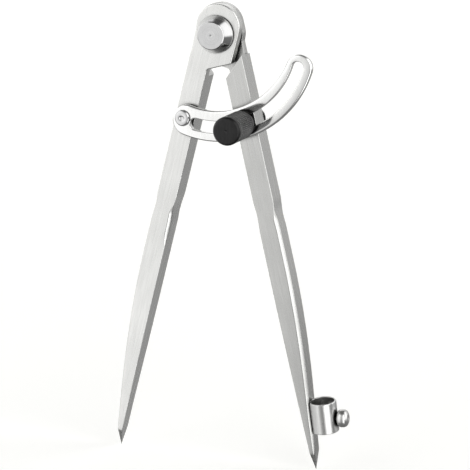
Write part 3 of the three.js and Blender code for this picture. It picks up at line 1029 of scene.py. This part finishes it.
@dataclass(frozen=True)
class WingArc:
    """The slotted wing arc and the rivet that holds it to the left leg."""

    body: str = "left_leg"
    inner_radius: float = 33.2 * MM
    outer_radius: float = 46.8 * MM
    narrowing: float = 1.75 * MM
    slot_inner: float = 37.7 * MM
    slot_outer: float = 43.0 * MM
    start_angle: float = math.radians(-17.7)
    slot_start: float = math.radians(-11.4)
    narrowing_start: float = math.radians(15)
    end_angle: float = math.radians(72.6)
    rim: float = 0.9 * MM
    slot_rim: float = 0.45 * MM
    arc_steps: int = 120
    cap_steps: int = 28
    rivet_radius: float = 3.5 * MM
    rivet_shank: float = 1.7 * MM
    rivet_bore: float = 2.0 * MM

    def on_circle(self, radius: float, angle: float) -> Flat:
        """Returns a place round the hinge, at an angle from straight down towards +X."""
        return (radius * math.sin(angle), -radius * math.cos(angle))

    def band(self, inner: float, outer: float, start: float, narrowing: float = 0.0) -> list[Flat]:
        """Returns a curved band's outline with a full round at each end.

        Args:
            inner: Radius of its inner edge round the hinge.
            outer: Radius of its outer edge.
            start: Angle of the centre of its first end.
            narrowing: How much further out the inner edge is at the free end.

        Returns:
            The outline's points; every band has as many.
        """

        def inner_at(angle: float) -> float:
            """Radius of the inner edge at an angle."""
            share = (angle - self.narrowing_start) / (self.end_angle - self.narrowing_start)
            return inner + narrowing * max(0.0, share) ** 2

        def cap(angle: float, turned: float) -> list[Flat]:
            """Points of the full round at one end."""
            near = inner_at(angle)
            centre_x, centre_z = self.on_circle((near + outer) / 2, angle)
            ends: list[Flat] = []
            for step in range(self.cap_steps):
                way = angle + turned + math.pi * step / self.cap_steps
                x, z = self.on_circle((outer - near) / 2, way)
                ends.append((centre_x + x, centre_z + z))
            return ends

        sweep = self.end_angle - start
        angles = [start + sweep * step / self.arc_steps for step in range(self.arc_steps + 1)]
        points = [self.on_circle(outer, angle) for angle in angles[:-1]]
        points += cap(self.end_angle, 0.0)
        points += [self.on_circle(inner_at(angle), angle) for angle in reversed(angles[1:])]
        points += cap(start, math.pi)
        return points

    def arc(self, finish: bpy.types.Material) -> None:
        """Makes the arc with its rims rolled over and its slot's edges broken."""
        room = NodeBox("wing_arc")
        loops: list[Loop] = []
        for y, drawn in rim_levels(room.low.y, room.high.y, self.rim):
            inner, outer = self.inner_radius + drawn, self.outer_radius - drawn
            edge = self.band(inner, outer, self.start_angle, self.narrowing)
            loops.append([Vector((x, y, z)) for x, z in edge])
        for y, drawn in reversed(rim_levels(room.low.y, room.high.y, self.slot_rim)):
            edge = self.band(self.slot_inner - drawn, self.slot_outer + drawn, self.slot_start)
            loops.append([Vector((x, y, z)) for x, z in edge])
        piece = skin("wing_arc_pressed", loops, cyclic=True)
        rivet = NodeBox("arc_rivet").centre
        reach = 1 * MM
        bore = pin_tool(
            self.rivet_bore, room.low.y - reach, room.high.y + reach, rivet.x, rivet.z
        )
        combine(piece, [(bore, "DIFFERENCE")])
        finish_piece(piece, "wing_arc", self.body, finish)

    def rivet(self, finish: bpy.types.Material) -> None:
        """Makes the arc's rivet: a low pan head with a turned ring on its face."""
        room = NodeBox("arc_rivet")
        arc_front = NodeBox("wing_arc").low.y
        head_base = arc_front - 0.3 * MM
        head = head_base - room.low.y
        end = head_base - room.high.y
        profile = rounded(
            [
                Corner(0.05 * MM, head - 0.35 * MM),
                Corner(0.7 * MM, head - 0.35 * MM, 0.2 * MM),
                Corner(1.2 * MM, head, 0.3 * MM),
                Corner(self.rivet_radius - 0.5 * MM, head, 0.4 * MM),
                Corner(self.rivet_radius, head * 0.45, 0.4 * MM),
                Corner(self.rivet_radius, 0.0, 0.1 * MM),
                Corner(self.rivet_shank, 0.0),
                Corner(self.rivet_shank, end),
                Corner(0.05 * MM, end),
            ]
        )
        foot = Vector((room.centre.x, head_base, room.centre.z))
        piece = turn("arc_rivet_turned", profile, axis_at(foot, TOWARDS_VIEWER), facets=96)
        finish_piece(piece, "arc_rivet", self.body, finish)

    def build(self, plate: bpy.types.Material, chrome: bpy.types.Material) -> None:
        """Makes the arc and its rivet."""
        self.arc(plate)
        self.rivet(chrome)


# ---------------------------------------------------------------- clamp


@dataclass(frozen=True)
class Clamp:
    """The clamp on the right leg: bolt, collar and knurled knob, on one axis along Y."""

    stud_radius: float = 2.3 * MM
    stud_bore: float = 2.6 * MM
    thread_pitch: float = 0.8 * MM
    thread_depth: float = 0.16 * MM
    neck_half: float = 2.5 * MM
    neck_depth: float = 3.2 * MM
    head_height: float = 2.4 * MM
    knurls: int = 48
    knurl_depth: float = 0.34 * MM
    face_rim: float = 0.9 * MM
    groove_at: float = 2.2 * MM
    groove_width: float = 0.9 * MM
    groove_depth: float = 0.45 * MM
    centre_mark: float = 0.6 * MM

    def knurl(self, length: float) -> Callable[[float, float], float]:
        """Returns the depth of the straight knurl on a knob of this length."""

        def depth(along: float, angle: float) -> float:
            """Depth of the knurl at a place on the knob; it runs out at both ends."""
            plain_front = self.groove_at + self.groove_width
            run_in = min(1.0, max(0.0, (length - plain_front - along) / (0.3 * MM)))
            run_out = min(1.0, max(0.0, (along - self.face_rim) / (0.3 * MM)))
            wave = 0.5 - 0.5 * math.cos(self.knurls * angle)
            return self.knurl_depth * wave * run_in * run_out

        return depth

    def knob(self, finish: bpy.types.Material) -> None:
        """Makes the knob: a knurled barrel, a groove and a plain turned front rim, bored from behind."""
        room = NodeBox("clamp_knob")
        stud_room = NodeBox("clamp_bolt")
        length, radius = room.depth, room.radius
        groove_start = length - self.groove_at - self.groove_width
        groove_end = length - self.groove_at
        bore_end = room.high.y - (stud_room.low.y - 0.3 * MM)
        front = rounded(
            [
                Corner(0.05 * MM, bore_end),
                Corner(self.stud_bore, bore_end),
                Corner(self.stud_bore, 0.0, 0.2 * MM),
                Corner(radius - 0.4 * MM, 0.0, 0.1 * MM),
                Corner(radius, 0.5 * MM, 0.2 * MM),
                Corner(radius, groove_start),
                Corner(radius - self.groove_depth, groove_start + 0.25 * MM, 0.15 * MM),
                Corner(radius - self.groove_depth, groove_end - 0.15 * MM, 0.15 * MM),
                Corner(radius, groove_end, 0.12 * MM),
                Corner(radius, length - self.face_rim, 0.15 * MM),
                Corner(radius - self.face_rim * 0.9, length, 0.15 * MM),
                Corner(self.centre_mark, length, 0.1 * MM),
                Corner(0.05 * MM, length - 0.4 * MM),
            ]
        )
        profile: list[Flat] = []
        for (radius_a, along_a), (radius_b, along_b) in zip(front, front[1:]):
            pieces = max(1, round(abs(along_b - along_a) / (1.2 * MM))) if radius_a > 5 * MM else 1
            for step in range(pieces):
                t = step / pieces
                profile.append((radius_a + (radius_b - radius_a) * t, along_a + (along_b - along_a) * t))
        profile.append(front[-1])
        foot = Vector((room.centre.x, room.high.y, room.centre.z))
        piece = turn(
            "clamp_knob_knurled",
            profile,
            axis_at(foot, TOWARDS_VIEWER),
            facets=self.knurls * 8,
            cut=self.knurl(length),
        )
        finish_piece(piece, "clamp_knob", "clamp_knob", finish)

    def collar(self, finish: bpy.types.Material) -> None:
        """Makes the collar, a thick washer with a turned shoulder towards the knob."""
        room = NodeBox("clamp_collar")
        radius, depth = room.radius, room.depth
        corners = [
            Corner(self.stud_bore, 0.0, 0.1 * MM),
            Corner(radius, 0.0, 0.2 * MM),
            Corner(radius, depth * 0.55, 0.2 * MM),
            Corner(radius - 0.6 * MM, depth * 0.65, 0.1 * MM),
            Corner(radius - 0.6 * MM, depth, 0.15 * MM),
            Corner(self.stud_bore, depth, 0.1 * MM),
        ]
        foot = Vector((room.centre.x, room.high.y, room.centre.z))
        profile = rounded(corners, closed=True)
        piece = turn("clamp_collar_turned", profile, axis_at(foot, TOWARDS_VIEWER), cyclic=True)
        finish_piece(piece, "clamp_collar", "clamp_collar", finish)

    def bolt(self, lean: float, finish: bpy.types.Material) -> None:
        """Makes the bolt: domed rear head, square neck and a threaded shank.

        Args:
            lean: Turn of the right leg about Y, which the square neck follows.
            finish: The finish.
        """
        room = NodeBox("clamp_bolt")
        head_base = room.high.y - self.head_height
        length = head_base - room.low.y
        head = room.radius
        thread_start = 13 * MM
        turns = int((length - 0.8 * MM - thread_start) / self.thread_pitch)
        thread: list[Corner] = []
        for index in range(turns):
            at = thread_start + index * self.thread_pitch
            thread.append(Corner(self.stud_radius, at))
            thread.append(Corner(self.stud_radius - self.thread_depth, at + self.thread_pitch / 2))
        profile = rounded(
            [
                Corner(0.05 * MM, -self.head_height),
                Corner(head * 0.55, -self.head_height, 1.2 * MM),
                Corner(head, -self.head_height * 0.45, 1.0 * MM),
                Corner(head, 0.0, 0.15 * MM),
                Corner(self.stud_radius, 0.0),
                *thread,
                Corner(self.stud_radius, length - 0.6 * MM),
                Corner(self.stud_radius - 0.5 * MM, length),
                Corner(0.05 * MM, length),
            ]
        )
        foot = Vector((room.centre.x, head_base, room.centre.z))
        place = axis_at(foot, TOWARDS_VIEWER)
        piece = turn("clamp_bolt_turned", profile, place, facets=96)
        half = self.neck_half
        square = place @ Matrix.Rotation(-lean, 4, "Z")
        low, high = Vector((-half, -half, -0.1 * MM)), Vector((half, half, self.neck_depth))
        combine(piece, [(box_piece("neck", low, high, square), "UNION")])
        finish_piece(piece, "clamp_bolt", "right_leg", finish)

    def build(self, lean: float, black: bpy.types.Material) -> None:
        """Makes the clamp's three pieces."""
        self.bolt(lean, black)
        self.collar(black)
        self.knob(black)


# ---------------------------------------------------------------- pencil holder


@dataclass(frozen=True)
class Holder:
    """The pencil tube on the right leg, the rivet that holds it and its clamping screw."""

    tilt: float = math.radians(-6.25)
    pitch: float = math.radians(4)
    outer_radius: float = 6.1 * MM
    inner_radius: float = 5.3 * MM
    length: float = 14.1 * MM
    screw_drop: float = 1.1 * MM
    gap: float = 0.3 * MM
    screw_bore: float = 1.9 * MM
    screw_shank: float = 1.6 * MM
    screw_tip: float = 2.2 * MM
    head_radius: float = 4.1 * MM
    head_length: float = 4.8 * MM
    rivet_bore: float = 1.5 * MM
    rivet_shank: float = 1.2 * MM
    rivet_head: float = 2.2 * MM
    rivet_head_height: float = 0.5 * MM
    rivet_end: float = -8.85 * MM

    @property
    def frame(self) -> Matrix:
        """The holder's own frame: Z along the tube, +X away from the leg, at the tube's middle."""
        upright = Matrix.Rotation(self.tilt, 4, "Y") @ Matrix.Rotation(self.pitch, 4, "X")
        return Matrix.Translation(NodeBox("pencil_tube").centre) @ upright

    @property
    def outwards(self) -> Matrix:
        """A frame whose Z runs out from the tube's axis at its middle, away from the leg."""
        return self.frame @ Matrix.Rotation(math.pi / 2, 4, "Y")

    @property
    def screw_place(self) -> Matrix:
        """The same frame on the screw's axis, a little below the tube's middle."""
        return self.frame @ Matrix.Translation((0, 0, -self.screw_drop)) @ (
            Matrix.Rotation(math.pi / 2, 4, "Y")
        )

    def leg_cutters(self) -> list[bpy.types.Object]:
        """Makes the tools that cut the tube's seat and the rivet's hole in the leg."""
        seat = self.outer_radius + self.gap
        half = self.length / 2 + self.gap
        ends = [(seat, -half), (seat, half)]
        inwards = [(self.rivet_bore, -20 * MM), (self.rivet_bore, 0.0)]
        return [
            turn("seat_tool", ends, self.frame, facets=96),
            turn("rivet_hole_tool", inwards, self.outwards, facets=48),
        ]

    def tube(self, finish: bpy.types.Material) -> None:
        """Makes the tube with rounded mouths and its two cross holes."""
        half = self.length / 2
        rim = (self.outer_radius - self.inner_radius) * 0.42
        corners = [
            Corner(self.inner_radius, -half, rim),
            Corner(self.outer_radius, -half, rim),
            Corner(self.outer_radius, half, rim),
            Corner(self.inner_radius, half, rim),
        ]
        piece = turn("pencil_tube_drawn", rounded(corners, closed=True), self.frame, cyclic=True)
        reach = self.outer_radius + 1 * MM
        screw = [(self.screw_bore, 0.0), (self.screw_bore, reach)]
        rivet = [(self.rivet_bore, -reach), (self.rivet_bore, 0.0)]
        combine(
            piece,
            [
                (turn("screw_hole_tool", screw, self.screw_place, facets=48), "DIFFERENCE"),
                (turn("rivet_hole_tool", rivet, self.outwards, facets=48), "DIFFERENCE"),
            ],
        )
        finish_piece(piece, "pencil_tube", "right_leg", finish)

    def rivet(self, finish: bpy.types.Material) -> None:
        """Makes the rivet from inside the tube through the leg."""
        seat = -math.sqrt(self.inner_radius**2 - self.rivet_head**2) + self.gap
        profile = rounded(
            [
                Corner(0.05 * MM, self.rivet_end),
                Corner(self.rivet_shank, self.rivet_end, 0.1 * MM),
                Corner(self.rivet_shank, seat),
                Corner(self.rivet_head, seat, 0.1 * MM),
                Corner(self.rivet_head * 0.6, seat + self.rivet_head_height, 0.5 * MM),
                Corner(0.05 * MM, seat + self.rivet_head_height),
            ]
        )
        piece = turn("holder_rivet_set", profile, self.outwards, facets=64)
        finish_piece(piece, "holder_rivet", "right_leg", finish)

    def screw(self, finish: bpy.types.Material) -> None:
        """Makes the clamping screw: a threaded shank and a smooth round head."""
        base = self.outer_radius + self.gap
        top = base + self.head_length
        profile = rounded(
            [
                Corner(0.05 * MM, self.screw_tip),
                Corner(self.screw_shank, self.screw_tip, 0.3 * MM),
                Corner(self.screw_shank, base),
                Corner(self.head_radius * 0.55, base, 0.4 * MM),
                Corner(self.head_radius, base + self.head_length * 0.12, 1.9 * MM),
                Corner(self.head_radius, base + self.head_length * 0.78, 1.9 * MM),
                Corner(self.head_radius * 0.55, top, 1.2 * MM),
                Corner(0.8 * MM, top),
                Corner(0.05 * MM, top - 0.3 * MM),
            ]
        )
        piece = turn("pencil_screw_turned", profile, self.screw_place, facets=96)
        finish_piece(piece, "pencil_screw", "pencil_screw", finish)

    def build(self, drawn: bpy.types.Material, plate: bpy.types.Material) -> None:
        """Makes the holder's three pieces."""
        self.tube(drawn)
        self.rivet(plate)
        self.screw(drawn)


HOLDER = Holder()


# ---------------------------------------------------------------- studio

LEVEL_FADE = (-0.25, -0.03)  # Z of the direction where the lower row of panels meets the upper
ROOF_FADE = (0.76, 0.84)  # and where the upper row meets the opening overhead
TABLE_FADE = (-0.6, -0.72)  # and where the lower row meets the table
TENT_LIGHT = 10.0  # strength of the tent; its colours are shares of this
FLOOR_GLOW = 0.24  # light from inside the floor board


@dataclass(frozen=True)
class Viewpoint:
    """The camera in front of the compass, a little to its right and above.

    Args:
        azimuth: Angle to the right of straight ahead.
        elevation: Angle above level.
        roll: Lean of the picture.
        distance: From the aim point.
        aim: The point at the middle of the picture.
        lens: Focal length in millimetres on a 36 mm sensor.
    """

    azimuth: float = math.radians(20)
    elevation: float = math.radians(13)
    roll: float = math.radians(0.54)
    distance: float = 885 * MM
    aim: tuple[float, float, float] = (7.7 * MM, 0.0, -89.7 * MM)
    lens: float = 152.6

    def build(self) -> None:
        """Makes the camera and sets it as the scene's."""
        data = bpy.data.cameras.new("camera")
        data.lens = self.lens
        data.sensor_width = 36.0
        camera = bpy.data.objects.new("camera", data)
        bpy.context.scene.collection.objects.link(camera)
        level = math.cos(self.elevation)
        back = Vector(
            (
                math.sin(self.azimuth) * level,
                -math.cos(self.azimuth) * level,
                math.sin(self.elevation),
            )
        )
        turn_to = back.to_track_quat("Z", "Y").to_matrix().to_4x4()
        rolled = turn_to @ Matrix.Rotation(self.roll, 4, "Z")
        camera.matrix_world = Matrix.Translation(Vector(self.aim) + back * self.distance) @ rolled
        bpy.context.scene.camera = camera


@dataclass(frozen=True)
class Studio:
    """A white light tent with gaps between its panels, over a white floor.

    Args:
        below: What the metal mirrors below level: pairs of degrees round from the front and light.
        above: The same above level.
        overhead: Light from the opening straight above.
        table: Light from straight below.
        floor_radius: Flat part of the floor.
        wall_height: Height of the backdrop that the floor runs up into.
    """

    below: tuple[Flat, ...] = (
        (-180, 0.40),
        (-150, 0.40),
        (-110, 0.75),
        (-60, 0.85),
        (-36, 1.15),
        (-24, 1.45),
        (-16, 0.62),
        (-8, 0.42),
        (4, 0.32),
        (17, 0.16),
        (23, 0.25),
        (27, 2.1),
        (69, 2.1),
        (74, 0.03),
        (96, 0.03),
        (108, 0.30),
        (140, 0.20),
        (156, 0.22),
        (166, 0.44),
        (180, 0.40),
    )
    above: tuple[Flat, ...] = (
        (-180, 1.1),
        (-110, 1.2),
        (-60, 1.4),
        (-36, 1.6),
        (-24, 1.55),
        (-14, 0.85),
        (8, 0.5),
        (24, 0.7),
        (27, 2.1),
        (80, 2.1),
        (85, 0.15),
        (93, 0.15),
        (99, 2.0),
        (132, 1.9),
        (146, 0.62),
        (164, 0.62),
        (180, 1.0),
    )
    overhead: float = 0.12
    table: float = 0.2
    floor_radius: float = 1.6
    wall_height: float = 2.4
    floor_colour: str = "#F6F6F4"

    def panels(
        self, tree: bpy.types.NodeTree, turn_share: bpy.types.NodeSocket, stops: Sequence[Flat]
    ) -> bpy.types.NodeSocket:
        """Returns the light of one row of panels.

        Args:
            tree: The world's node tree.
            turn_share: Place round the tent, from 0 to 1.
            stops: Pairs of degrees and light.

        Returns:
            A colour socket, in tenths of the light so that the ramp stays below one.
        """
        ramp = add_node(tree, "ShaderNodeValToRGB", {}, {"Fac": turn_share})
        set_ramp(ramp, [(angle / 360 + 0.5, light / TENT_LIGHT) for angle, light in stops])
        return ramp.outputs["Color"]

    def tent(self) -> None:
        """Makes the world's light."""
        world = bpy.data.worlds.new("light_tent")
        world.use_nodes = True
        tree = world.node_tree
        tree.nodes.clear()
        direction = add_node(tree, "ShaderNodeTexCoord").outputs["Generated"]
        axes = add_node(tree, "ShaderNodeSeparateXYZ", {}, {"Vector": direction})
        front = calculation(tree, "MULTIPLY", axes.outputs["Y"], -1.0)
        angle = calculation(tree, "ARCTAN2", axes.outputs["X"], front.outputs[0])
        share = add_node(
            tree,
            "ShaderNodeMapRange",
            {},
            {"Value": angle.outputs[0], "From Min": -math.pi, "From Max": math.pi},
        )
        low = self.panels(tree, share.outputs["Result"], self.below)
        high = self.panels(tree, share.outputs["Result"], self.above)
        rise = smooth_share(tree, axes.outputs["Z"], LEVEL_FADE[0], LEVEL_FADE[1])
        walls = blend_colours(tree, rise.outputs["Result"], low, high)
        roof = smooth_share(tree, axes.outputs["Z"], ROOF_FADE[0], ROOF_FADE[1])
        grey = (self.overhead / TENT_LIGHT,) * 3 + (1.0,)
        whole = blend_colours(tree, roof.outputs["Result"], walls.outputs[2], grey)
        table = smooth_share(tree, axes.outputs["Z"], TABLE_FADE[0], TABLE_FADE[1])
        dark = (self.table / TENT_LIGHT,) * 3 + (1.0,)
        closed = blend_colours(tree, table.outputs["Result"], whole.outputs[2], dark)
        light = add_node(
            tree, "ShaderNodeBackground", {}, {"Color": closed.outputs[2], "Strength": TENT_LIGHT}
        )
        add_node(tree, "ShaderNodeOutputWorld", {}, {"Surface": light.outputs[0]})
        bpy.context.scene.world = world

    def floor(self) -> None:
        """Makes the floor and the round backdrop as one sweep.

        The board is also lit from inside. Reflections, bounce light and shadows leave it out,
        so the metal mirrors the tent instead.
        """
        material = blank_material("matt_white_acrylic_backlit")
        tree = material.node_tree
        fibre = add_node(tree, "ShaderNodeTexNoise", {}, {"Scale": 900.0, "Detail": 2.0})
        tone = blend_colours(tree, fibre.outputs[0], linear("#F4F4F2"), linear(self.floor_colour))
        shader = add_node(
            tree,
            "ShaderNodeBsdfPrincipled",
            {},
            {
                "Base Color": tone.outputs[2],
                "Roughness": 0.9,
                "Specular IOR Level": 0.1,
                "Emission Color": tone.outputs[2],
                "Emission Strength": FLOOR_GLOW,
            },
        )
        add_node(tree, "ShaderNodeOutputMaterial", {}, {"Surface": shader.outputs[0]})
        level = min(NodeBox("left_leg").low.z, NodeBox("right_leg").low.z)
        sweep = rounded(
            [
                Corner(0.02, 0.0),
                Corner(self.floor_radius, 0.0, 0.7),
                Corner(self.floor_radius, self.wall_height),
            ],
            steps=16,
        )
        shape = bmesh.new()
        rings = []
        for radius, height in sweep:
            ring = []
            for index in range(ROUND_STEPS):
                angle = 2 * math.pi * index / ROUND_STEPS
                spot = (radius * math.cos(angle), radius * math.sin(angle), level + height)
                ring.append(shape.verts.new(spot))
            rings.append(ring)
        for low, high in zip(rings, rings[1:]):
            for index in range(ROUND_STEPS):
                following = (index + 1) % ROUND_STEPS
                shape.faces.new((low[index], low[following], high[following], high[index]))
        shape.faces.new(rings[0])
        bmesh.ops.recalc_face_normals(shape, faces=shape.faces)
        mesh = bpy.data.meshes.new("floor")
        shape.to_mesh(mesh)
        shape.free()
        mesh.shade_smooth()
        floor = bpy.data.objects.new("floor", mesh)
        bpy.context.scene.collection.objects.link(floor)
        floor.data.materials.append(material)
        floor.visible_glossy = False
        floor.visible_diffuse = False
        floor.visible_shadow = False

    def build(self) -> None:
        """Makes the light and the floor."""
        self.tent()
        self.floor()
        bpy.context.scene.view_settings.view_transform = "Standard"


# ---------------------------------------------------------------- assembly


def steel_of(leg: Leg) -> bpy.types.Material:
    """Returns the leg's finish, with its grinding lines along that leg.

    The right leg is a shade greyer than the left: painted shade, for the weaker light on that leg.
    """
    is_left = leg.side is Side.LEFT
    return GroundSteel(
        name="nickel_plated_steel_belt_ground_" + leg.side.name.lower(),
        # Right leg darker: painted shade on a copy of the same steel.
        colour="#DEDEDC" if is_left else "#CACAC8",
        mark_colour="#D2D2D0" if is_left else "#BABAB8",
        worn_and_glint_colour="#E8E8E6" if is_left else "#E0E0DE",
        roughness=(0.22, 0.31),
        edge_width=0.3 * MM,
        mark_depth=0.003 * MM,
        lean=leg.lean,
    ).build()


def chrome_at(node: str, colour: str) -> bpy.types.Material:
    """Returns turned chrome with its tool rings centred on that node's axis."""
    return TurnedChrome(
        name="chrome_plated_steel_turned_" + node,
        colour=colour,
        mark_colour="#AEAEAE",
        worn_and_glint_colour="#E6E6E6",
        roughness=(0.08, 0.18),
        edge_width=0.2 * MM,
        mark_depth=0.004 * MM,
        axis=tuple(NodeBox(node).centre),
    ).build()


def main() -> None:
    """Builds the studio and every sub-assembly in order."""
    Viewpoint().build()
    Studio().build()
    plate = PlatedSteel(
        name="nickel_plated_steel_buffed",
        colour="#ECECEB",
        mark_colour="#DFDFDD",
        worn_and_glint_colour="#F4F4F4",
        roughness=(0.06, 0.13),
        edge_width=0.25 * MM,
        mark_depth=0.003 * MM,
    ).build()
    drawn = PlatedSteel(
        name="nickel_plated_steel_tube_drawn",
        colour="#D8D8D7",
        mark_colour="#C6C6C4",
        worn_and_glint_colour="#F4F4F3",
        roughness=(0.24, 0.34),
        edge_width=0.2 * MM,
        mark_depth=0.003 * MM,
        # The painted shade reaches further on the tube and its screw.
        painted_shade_reach=9 * MM,
    ).build()
    black = PlatedSteel(
        name="steel_oil_blackened",
        colour="#2C2C2C",
        mark_colour="#121212",
        # Far lighter than the black: worn-off blackening, and a painted highlight on the rims and the
        # knob's knurl.
        worn_and_glint_colour="#B4B4B2",
        roughness=(0.28, 0.42),
        edge_width=0.2 * MM,
        grain=0.7 * MM,
        mark_depth=0.01 * MM,
        metallic=0.6,
    ).build()
    bronze = PlatedSteel(
        name="phosphor_bronze_rolled",
        colour="#B08D57",
        mark_colour="#8F6F40",
        worn_and_glint_colour="#C9A66B",
        roughness=(0.3, 0.45),
        edge_width=0.1 * MM,
        mark_depth=0.006 * MM,
    ).build()
    left, right = Leg(Side.LEFT), Leg(Side.RIGHT)
    left.build(steel_of(left))
    right.build(steel_of(right))
    Hinge().build(chrome_at("hinge_rivet", "#C8C8C8"), plate, bronze)
    WingArc().build(plate, chrome_at("arc_rivet", "#DCDCDC"))
    Clamp().build(right.lean, black)
    HOLDER.build(drawn, plate)


if __name__ == "__main__":
    main()
